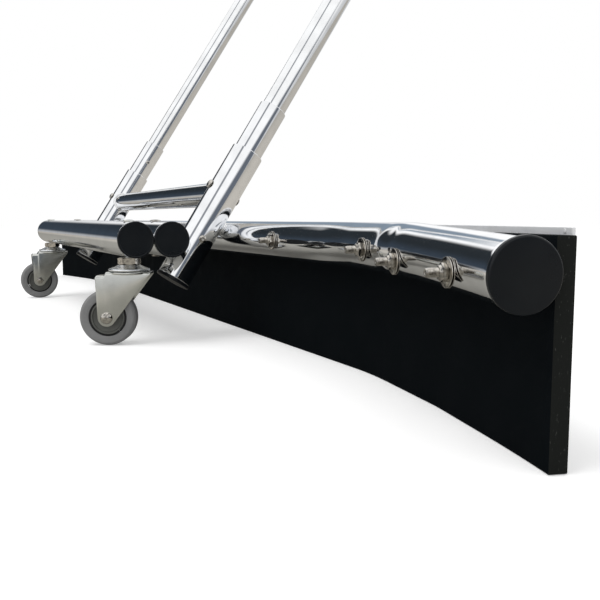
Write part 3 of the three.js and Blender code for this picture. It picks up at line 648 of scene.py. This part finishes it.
# the snap button's foot lies flat against the handle's bore, above the leaf of its spring
BUTTON_R, FOOT_R, FOOT_T = 4.0, 6.0, 1.6
BUTTON_SEAT = math.sqrt(HANDLE_BORE ** 2 - FOOT_R ** 2) - FACE_GAP


def handle_frame(s):
    """The handle's centre line in the uprights' plane, s millimetres from the foot of the right leg."""
    far_half = s > HANDLE_LENGTH / 2
    along = HANDLE_LENGTH - s if far_half else s
    if along <= LEG:
        x, z, angle = SPACING / 2, HANDLE_FOOT + along, 0.0
    elif along <= LEG + QUARTER:
        angle = (along - LEG) / CORNER
        x = SPACING / 2 - CORNER * (1 - math.cos(angle))
        z = HANDLE_TOP - CORNER + CORNER * math.sin(angle)
    else:
        x, z, angle = SPACING / 2 - CORNER - (along - LEG - QUARTER), HANDLE_TOP, math.pi / 2
    side = np.array((math.cos(angle), 0.0, math.sin(angle)))
    if far_half:
        x, side = -x, side * (1, 1, -1)
    return np.array((x, 0.0, z)), side, np.array((0.0, 1.0, 0.0))


def handle():
    marks = [(0, 80), (LEG, 6), (LEG + QUARTER, 60), (HANDLE_LENGTH - LEG - QUARTER, 6),
             (HANDLE_LENGTH - LEG, 80), (HANDLE_LENGTH, 1)]
    fine("handle", pipe(stepped(*marks), handle_frame, HANDLE_R, HANDLE_BORE, sides=72), PLANE)
    inner, outer, end, collar = HANDLE_R + FACE_GAP, HANDLE_R + 5.5, -190.0, 1.96
    outline = mirrored([(inner, end, 1.0), (outer + collar, end, 3.0), (outer + collar, end + 12, 2.0),
                        (outer, end + 14, 1.5)])
    on_bar = PLANE @ move(0, 0, HANDLE_TOP) @ turn("Y", math.pi / 2)
    grip = fine("handle_grip", hollow(outline, 5, 72), on_bar)


def button_springs():
    """The bent leaf behind each button: one leg under the button, the other along the handle's far wall."""
    thick, width, length = 1.2, 8.0, 46.0
    foot = BUTTON_SEAT - FACE_GAP - FOOT_T
    wall = FACE_GAP - math.sqrt(HANDLE_BORE ** 2 - (width / 2) ** 2)
    outline = rounded([(-FOOT_R, foot, 0.3), (-FOOT_R, foot - thick, 0.3), (FOOT_R, foot - thick, 3),
                       (length - 3.6, wall + thick, 1.2), (-FOOT_R, wall + thick, 0.3), (-FOOT_R, wall, 0.3),
                       (length, wall, 2.2), (FOOT_R + 1.2, foot, 3)], 5)
    ring = []
    for a, b in zip(outline, outline[1:] + outline[:1]):
        parts = max(1, round(math.dist(a, b) / 2))
        ring += [(a[0] + (b[0] - a[0]) * i / parts, a[1] + (b[1] - a[1]) * i / parts) for i in range(parts)]
    edges = (-width / 2, width / 2)
    grain = [[(along, h, y) for along, h in ring] for y in edges]
    for name, sign in SIDES:
        centre = sign * SPACING / 2
        rings = [[(centre - sign * h, y, BUTTON_STATION + along) for along, h in ring] for y in edges]
        if sign > 0:
            rings.reverse()
        ends = [PLANE @ Vector((centre - sign * h, 0, BUTTON_STATION)) * MM for h in (wall, foot)]
        bends = ("frame", "snap_button_%s_body" % name, *ends)
        fine("button_spring_" + name, loft(rings, grain), PLANE, bends=bends)


def bead(points, normals, radius, lump, seed, squash=0.8, closed=True):
    """A weld bead along a line: overlapping round lumps, one for each stop of the torch. normals point away
    from the seam, and squash flattens the bead along them."""
    points = np.asarray(points, float)
    count, sides = len(points), 12
    phi = around(sides)
    ahead = np.roll(points, -1, 0) - np.roll(points, 1, 0) if closed else np.gradient(points, axis=0)
    reached = np.concatenate([[0], np.cumsum(np.linalg.norm(np.diff(points, axis=0), axis=1))])
    rings = []
    for i, point in enumerate(points):
        tangent = ahead[i] / np.linalg.norm(ahead[i])
        normal = normals[i] - (normals[i] @ tangent) * tangent
        normal /= np.linalg.norm(normal)
        wave = abs(math.sin(math.pi * (reached[i] / lump) + seed))
        r = radius * (0.93 + 0.07 * wave + 0.03 * math.sin(1.7 * reached[i] + seed))
        if not closed:
            r *= math.sqrt(max(0.02, 1 - (2 * i / (count - 1) - 1) ** 8))  # round ends
        across = np.outer(r * np.cos(phi), np.cross(tangent, normal))
        rings.append(point + across + np.outer(r * squash * np.sin(phi), normal))
    return loft(rings, rings, closed_rings=closed)


def weld(name, like, at=None, **settings):
    """A bead that rides with the CAD node like. The settings are the bead's own."""
    piece("weld_" + name, bead(**settings), like, at, look="weld", sharp=60)


def crossing_weld(name, contact, normal, along_a, along_b, like, seed):
    """The bead round the point where two crossed tubes touch. normal points from tube a to tube b, and
    along_a and along_b are their axes."""
    ring, count = 9.5, 120
    points = []
    for angle in around(count):
        u, v = ring * math.cos(angle), ring * math.sin(angle)  # u along a, v along b
        rise = (u * u - v * v) / (4 * TUBE_R)
        points.append(contact + along_a * u + along_b * v + normal * rise)
    weld(name, like, points=points, normals=[normal] * count, radius=1.6, lump=3.2, seed=seed)


def sleeves():
    """The two leaning tubes and what each holds: the middle tube, plug, bolt, rivet, button and welds."""
    shank_end = -(TUBE_R - MIDDLE_BORE) - 4
    rivet = hollow([(1.4, shank_end, 0.3), (2.4, shank_end, 0.3), (2.4, FACE_GAP, 0), (6, FACE_GAP, 0.3),
                    (5.4, 1.3, 1.2), (3.2, 1.9, 1.0), (1.4, 1.9, 0.4)], 5, 40)
    foot, nose = BUTTON_SEAT - FOOT_T, MIDDLE_R + 4.4
    button = solid([(0, foot, 0), (FOOT_R, foot, 0.3), (FOOT_R, BUTTON_SEAT, 0.3),
                    (BUTTON_R, BUTTON_SEAT, 0.2), (BUTTON_R, nose, 2.6), (0, nose, 0)], 7, 40)
    plug_overlap = 1.2
    tilt = np.array(PLANE.to_3x3())
    front, up_leg, along_x = tilt @ (0, -1.0, 0), tilt @ (0, 0, 1.0), np.array((1.0, 0, 0))
    to_contact = front * (TUBE_R + FACE_GAP / 2)
    for name, sign in SIDES:
        x = sign * SPACING / 2
        at = PLANE @ move(x, 0, 0)
        fine("sleeve_" + name, straight(*SLEEVE, TUBE_R, TUBE_BORE), at)
        fine("middle_tube_" + name, straight(*MIDDLE, MIDDLE_R, MIDDLE_BORE), at)
        foot_end = at @ move(0, 0, SLEEVE[0]) @ turn("X", math.pi)
        fine("sleeve_plug_" + name, cap_shape(TUBE_R + plug_overlap), foot_end)
        through = at @ move(0, 0, BOLT_STATION) @ turn("X", math.pi / 2)
        fine("sleeve_bolt_" + name, through_bolt(head=7, height=4.5), through)
        outside = at @ move(sign * TUBE_R, 0, RIVET_STATION) @ turn("Y", sign * math.pi / 2)
        fine("rivet_" + name, rivet, outside)
        inside = at @ move(0, 0, BUTTON_STATION) @ turn("Y", -sign * math.pi / 2)
        fine("snap_button_" + name, button, inside)
        on_main = np.array((x, MAIN_Y, TUBE_Z)) + to_contact
        on_rear = np.array((x, REAR_Y, TUBE_Z)) - to_contact
        crossing_weld("main_" + name, on_main, front, along_x, up_leg, "sleeve_" + name, seed=sign)
        crossing_weld("rear_" + name, on_rear, -front, along_x, up_leg, "sleeve_" + name, seed=2 + sign)


def brace():
    """The cross tube between the sleeves, its ends cut to their round and welded to them."""
    at = PLANE @ move(0, 0, BRACE_STATION)
    phi, bore, edge, past_edge = around(96), BRACE_R - BRACE_WALL, 0.5, 8
    def coped(sign, radius, back, phi):
        """A ring or point of the cut end at one radius, moved back along the tube."""
        y, z = radius * np.cos(phi), radius * np.sin(phi)
        x = sign * (SPACING / 2 - np.sqrt((TUBE_R + FACE_GAP) ** 2 - y ** 2) - back)
        return np.stack([x, y, z], -1)
    outer = [(BRACE_R - edge, 0), (BRACE_R, edge), (BRACE_R, past_edge)]
    inner = [(bore, 0), (bore, past_edge)]
    rings = [coped(-1, radius, back, phi) for radius, back in outer]
    rings += [coped(1, radius, back, phi) for radius, back in outer[::-1] + inner]
    rings += [coped(-1, radius, back, phi) for radius, back in inner[::-1]]
    fine("brace", loft(rings, rings, closed_rings=True), at)
    count, seam_r, inward = 150, BRACE_R + 0.6, 0.2
    turns = around(count)
    normals = np.stack([0 * turns, np.cos(turns), np.sin(turns)], 1)
    for name, sign in SIDES:
        weld("brace_" + name, "brace", at, points=coped(sign, seam_r, inward, turns), normals=normals,
             radius=2.1, lump=2.6, seed=sign, squash=1.0)


def castor_tube_welds():
    """Stitches along the two castor tubes, above and below."""
    stitches = ((-330, 60), (-120, 40), (120, 40), (330, 60))  # x and length
    steps, above = 80, 10.5
    for number, (x, length) in enumerate(stitches):
        for side, sign in (("a", 1), ("b", -1)):
            points = [(x - length / 2 + length * i / steps, (FRONT_Y + REAR_Y) / 2, TUBE_Z + sign * above)
                      for i in range(steps + 1)]
            weld("tubes_%d%s" % (number, side), "rear_tube", points=points, radius=3.4, lump=3.4, seed=number,
                 normals=[np.array((0, 0, 1.0))] * len(points), closed=False)


# ---------------------------------------------------------------- castors

FORK_TOP, FORK_PLATE, FORK_SHEET = 105.0, 3.0, 2.5
FORK_HALF, FORK_CORNER = 17.5, 4.0
FORK_REAR, FORK_FRONT, FORK_END = -32.0, 45.5, 12.5  # the last is the cheeks' radius round the axle
CROWN_STEP, CROWN_RUN, CROWN_FALL = 30.0, 4.0, 5.0  # the crown steps down in front of the plate
AHEAD_LEAN = 5.0  # of the cheeks' front edge, from the axle up to the crown


def united(*shapes):
    """The shapes as one closed mesh."""
    made = []
    for i, shape in enumerate(shapes):
        thing = bpy.data.objects.new("united_%d" % i, mesh_of("united_%d" % i, shape))
        bpy.context.scene.collection.objects.link(thing)
        made.append(thing)
    for other in made[1:]:
        step = made[0].modifiers.new("union", "BOOLEAN")
        step.operation, step.object, step.solver = "UNION", other, "EXACT"
    graph = bpy.context.evaluated_depsgraph_get()
    result = bpy.data.meshes.new_from_object(made[0].evaluated_get(graph))
    points = np.array([v.co for v in result.vertices], float) / MM
    faces = [tuple(p.vertices) for p in result.polygons]
    for thing in made:
        bpy.data.objects.remove(thing)
    return along_z(points, faces)


def fork_shape():
    """The pressed fork about the swivel: it trails along -Y. An inverted U with a round plate on top."""
    below_plate, below_step = FORK_TOP - FORK_PLATE, FORK_TOP - CROWN_FALL - FORK_PLATE
    run_back, rise_back = TRAIL - FORK_REAR, below_plate - WHEEL_R
    back = math.atan2(rise_back, run_back) + math.asin(FORK_END / math.hypot(run_back, rise_back))
    ahead = math.atan2(AHEAD_LEAN, FORK_TOP - CROWN_FALL - WHEEL_R)
    # t is the distance along the trail; a cheek's round end runs from its rear edge to its front edge
    arc_from = (TRAIL - FORK_END * math.sin(back), WHEEL_R - FORK_END * math.cos(back))
    arc_to = (TRAIL + FORK_END * math.cos(ahead), WHEEL_R - FORK_END * math.sin(ahead))
    lip = 0.4
    def cheek_edge(t):
        """The height of a cheek's lower edge."""
        if t <= arc_from[0]:
            share = (t - FORK_REAR) / (arc_from[0] - FORK_REAR)
            return (below_plate - lip) * (1 - share) + arc_from[1] * share
        if t < arc_to[0]:
            return WHEEL_R - math.sqrt(max(0, FORK_END ** 2 - (t - TRAIL) ** 2))
        share = (t - arc_to[0]) / (FORK_FRONT - arc_to[0])
        return arc_to[1] + (below_step - lip - arc_to[1]) * min(1, share)
    def crown(t):
        """The height of the top face, with its smooth step and its round front edge."""
        share = min(1.0, max(0.0, (t - CROWN_STEP) / CROWN_RUN))
        level = FORK_TOP - CROWN_FALL * share * share * (3 - 2 * share)
        past = max(0.0, t - (FORK_FRONT - FORK_SHEET))
        return level - (FORK_SHEET - math.sqrt(max(0, FORK_SHEET ** 2 - past ** 2)))
    rings = []
    inside, inner_corner = FORK_HALF - FORK_SHEET, FORK_CORNER - FORK_SHEET
    marks = [(FORK_REAR, 2.5), (arc_from[0] - 2, 0.6), (CROWN_STEP - 1, 0.5), (CROWN_STEP + CROWN_RUN + 1, 2),
             (arc_to[0] - 6, 0.5), (arc_to[0], 0.3), (FORK_FRONT, 1)]
    for t in stepped(*marks):
        high = crown(t)
        low = min(cheek_edge(t), high - FORK_PLATE - 0.3)
        outline = [(-FORK_HALF, low, 0.6), (-FORK_HALF, high, FORK_CORNER), (FORK_HALF, high, FORK_CORNER),
                   (FORK_HALF, low, 0.6), (inside, low, 0.6), (inside, high - FORK_PLATE, inner_corner),
                   (-inside, high - FORK_PLATE, inner_corner), (-inside, low, 0.6)]
        rings.append([(x, -t, z) for x, z in rounded(outline, 4)])
    plate_r = 28
    plate = solid([(0, below_plate, 0), (plate_r, below_plate, 0.6), (plate_r, FORK_TOP, 0.9),
                   (0, FORK_TOP, 0)], 3, 72)
    return united(loft(rings, rings), plate)


def wheel_shapes():
    """The tyre, the black ring and the hub, each along Z."""
    tyre_half, tyre_bore = 12.5, 26.8
    tyre = [(tyre_bore, 1 - tyre_half, 0.6), (30, 0.4 - tyre_half, 0.6), (36.6, -tyre_half, 3.0),
            (WHEEL_R, 4 - tyre_half, 4.2)]
    ring = [(24.3, -11, 0.7), (26.5, -11, 0.7)]
    boss_half, rim_half = 14.7, 11.5
    hub = [(4.4, -boss_half, 0.4), (8.6, -boss_half, 0.9), (10, -9.5, 1.6), (13, -8.9, 1.0),
           (20.6, -9.6, 1.2), (21.6, -rim_half, 0.8), (24, -rim_half, 0.8)]
    return hollow(mirrored(tyre), 5, 96), hollow(mirrored(ring), 4, 96), hollow(mirrored(hub), 4, 96)


def castors():
    fork = fork_shape()
    tyre, ring, hub = wheel_shapes()
    face = FORK_HALF + FACE_GAP
    axle_end = -face - NUT_HEIGHT - 2
    rings, warp = thread(BOLT_R, axle_end + 0.8, -face + 1)
    threaded = [(0, axle_end), (3.2, axle_end), *rings, (BOLT_R, -15), (BOLT_R, 0), (0, 0)]
    axle = joined(turned(threaded, 28, warp, closed=False), pin(BOLT_R - 0.1, 8.5, -1, face, face + 5))
    tube_low, tube_top = TUBE_Z - TUBE_R - FACE_GAP, TUBE_Z + TUBE_R + FACE_GAP
    stem_foot = 3
    stem_low = FORK_TOP - FORK_PLATE - FACE_GAP - stem_foot
    cup_low, cup_bore, cup_r = FORK_TOP + 1.2, 6.5, 29.3
    cup_high = cup_low + 8.5
    cup = hollow([(cup_bore, cup_low, 0.3), (cup_r, cup_low, 0.8), (cup_r, cup_low + 2.6, 1.2),
                  (21.5, cup_low + 5.2, 3.0), (15, cup_high, 2.2), (cup_bore, cup_high, 0.3)], 6, 96)
    stem = pin(6, 8, stem_low, tube_top, tube_top + 2.2, foot=10, foot_height=stem_foot)
    spacer_across, spacer_turn = 28, -0.22
    spacer = hexagon(spacer_across, cup_high + FACE_GAP, tube_low, cup_bore)
    nut = hexagon(NUT_ACROSS, -face - NUT_HEIGHT, -face, NUT_BORE)
    for name, sign in SIDES:
        label = "castor_" + name + "_"
        fixed = move(sign * CASTOR_X, FRONT_Y, 0)
        swivel = fixed @ turn("Z", CASTOR_TURN[name])
        on_axle = swivel @ move(0, -TRAIL, WHEEL_R) @ turn("Y", sign * math.pi / 2)
        fine(label + "stem", stem, fixed)
        # the bearing cup takes the lighter copy of zinc, a painted highlight
        fine(label + "bearing", cup, fixed, look="zinc_with_painted_highlight")
        fine(label + "spacer", spacer, fixed @ turn("Z", spacer_turn))
        fine(label + "fork", fork, swivel)
        for part, shape in (("axle", axle), ("axle_nut", nut), ("tyre", tyre), ("ring", ring), ("hub", hub)):
            fine(label + part, shape, on_axle)


# ---------------------------------------------------------------- floor, sky, light and camera, in metres


def court():
    """A floor that is white to the camera. The metal mirrors it as a beige court, with a painted shadow that
    darkens it under and before the squeegee."""
    size, below = 14.0, 0.0005
    mesh = bpy.data.meshes.new("floor")
    corners = [(-size, -size, 0), (size, -size, 0), (size, size, 0), (-size, size, 0)]
    mesh.from_pydata(corners, [], [(0, 1, 2, 3)])
    floor = bpy.data.objects.new("floor", mesh)
    floor.location.z = -below
    bpy.context.scene.collection.objects.link(floor)
    made = bpy.data.materials.new("floor")
    made.use_nodes = True
    graph = Graph(made.node_tree)
    ray = graph.node("ShaderNodeLightPath").outputs
    pale = graph.shader("BsdfDiffuse", {"Color": (0.8, 0.8, 0.8, 1)})
    lift = graph.shader("Emission", {"Color": (1, 1, 1, 1), "Strength": 0.34})
    lit = graph.shader("AddShader", {0: pale, 1: lift})
    position = graph.node("ShaderNodeNewGeometry").outputs["Position"]
    y = graph.node("ShaderNodeSeparateXYZ", {0: position}).outputs[1]
    # painted shadow: the court that the metal mirrors is darker from 0.5 m before the squeegee to under it,
    # fading out by 0.85 m before it and 0.15 m behind
    near = graph.times(graph.ramp(y, -0.85, -0.5), graph.ramp(y, 0.0, 0.15, 1, 0))
    beige = graph.shader("BsdfDiffuse", {"Color": graph.mix(near, (0.54, 0.51, 0.46), (0.33, 0.32, 0.29))})
    mirrored_floor = graph.shader("MixShader", {0: ray["Is Glossy Ray"], 1: pale, 2: beige})
    shown = graph.shader("MixShader", {0: ray["Is Camera Ray"], 1: mirrored_floor, 2: lit})
    graph.node("ShaderNodeOutputMaterial", {"Surface": shown})
    mesh.materials.append(made)


def sky():
    """White to the camera and even to matt things. The metal mirrors a sky with soft dark patches."""
    world = bpy.data.worlds.new("studio")
    bpy.context.scene.world = world
    world.use_nodes = True
    graph = Graph(world.node_tree)
    ray = graph.node("ShaderNodeLightPath").outputs
    way = graph.node("ShaderNodeTexCoord").outputs["Generated"]
    east, north, up = graph.node("ShaderNodeSeparateXYZ", {0: way}).outputs
    rise = graph.times(graph.math("ARCSINE", up), 180 / math.pi)
    flat = graph.math("SQRT", graph.plus(graph.times(east, east), graph.times(north, north)))
    def patch(azimuth, full, none, *rises):
        """1 up to full degrees from an azimuth in plan, and 0 from none degrees on. Each of rises is a ramp
        over the height in degrees that it is multiplied by."""
        a = math.radians(azimuth)
        along = graph.plus(graph.times(east, math.cos(a)), graph.times(north, math.sin(a)))
        cosine = graph.math("DIVIDE", along, flat)
        made = graph.ramp(cosine, math.cos(math.radians(none)), math.cos(math.radians(full)))
        for limits in rises:
            made = graph.times(made, graph.ramp(rise, *limits))
        return made
    left = patch(-152, 30, 37, (26, 32, 1, 0), (0, 4, 0.35, 1))
    behind = patch(159, 6, 11, (27, 30, 1, 0), (4, 12, 0, 1))
    right = patch(9, 17, 27, (12, 21, 1, 0))
    line = patch(-54, 4, 11, (20, 30, 0, 1))
    haze = graph.times(graph.ramp(rise, 2, 16, 1, 0), 0.45)
    veil = graph.math("MAXIMUM", graph.times(right, 0.95), graph.times(line, 0.8))
    veil = graph.math("MAXIMUM", veil, haze)
    colour = graph.mix(veil, (1.12, 1.12, 1.12), (0.09, 0.11, 0.145))
    colour = graph.mix(behind, colour, (0.25, 0.31, 0.38))
    trees = graph.mix(graph.ramp(rise, 4, 18), (0.042, 0.057, 0.078), (0.024, 0.030, 0.036))
    colour = graph.mix(left, colour, trees)
    patched = graph.shader("Background", {"Color": colour, "Strength": 1.0})
    even = graph.shader("Background", {"Color": (1, 1, 1, 1), "Strength": 0.85})
    white = graph.shader("Background", {"Color": (1, 1, 1, 1), "Strength": 1.0})
    mirrored_sky = graph.shader("MixShader", {0: ray["Is Glossy Ray"], 1: even, 2: patched})
    seen = graph.math("MAXIMUM", ray["Is Camera Ray"], ray["Is Transmission Ray"])
    shown = graph.shader("MixShader", {0: seen, 1: mirrored_sky, 2: white})
    graph.node("ShaderNodeOutputWorld", {"Surface": shown})


def key_light():
    """A broad lamp above and before the squeegee, left out of its reflections."""
    lamp = bpy.data.lights.new("key", "AREA")
    lamp.shape, lamp.size, lamp.energy = "DISK", 2.2, 55.0
    key = bpy.data.objects.new("key", lamp)
    key.location = (0.6, -1.8, 3.2)
    target = Vector((0, -0.1, 0.2))
    key.rotation_euler = (target - key.location).to_track_quat("-Z", "Y").to_euler()
    key.visible_glossy = False
    bpy.context.scene.collection.objects.link(key)


def camera():
    """The photo's own view, in metres. Yaw turns from -X towards +Y, and pitch is downwards."""
    yaw, pitch = math.radians(26.731), math.radians(6.298)
    ahead = Vector((-math.cos(yaw) * math.cos(pitch), math.sin(yaw) * math.cos(pitch), -math.sin(pitch)))
    data = bpy.data.cameras.new("camera")
    data.lens, data.sensor_width = 44.225, 36.0
    data.clip_start, data.clip_end = 0.01, 60.0
    made = bpy.data.objects.new("camera", data)
    made.location = (1.41031, -0.46059, 0.17963)
    made.rotation_euler = ahead.to_track_quat("-Z", "Y").to_euler()
    bpy.context.scene.collection.objects.link(made)
    bpy.context.scene.camera = made


camera()
court()
sky()
key_light()
bpy.context.scene.view_settings.view_transform = "Standard"
main_tube()
blade_and_strip()
blade_bolts()
main_caps()
castor_tubes()
sleeves()
brace()
castor_tube_welds()
handle()
button_springs()
castors()
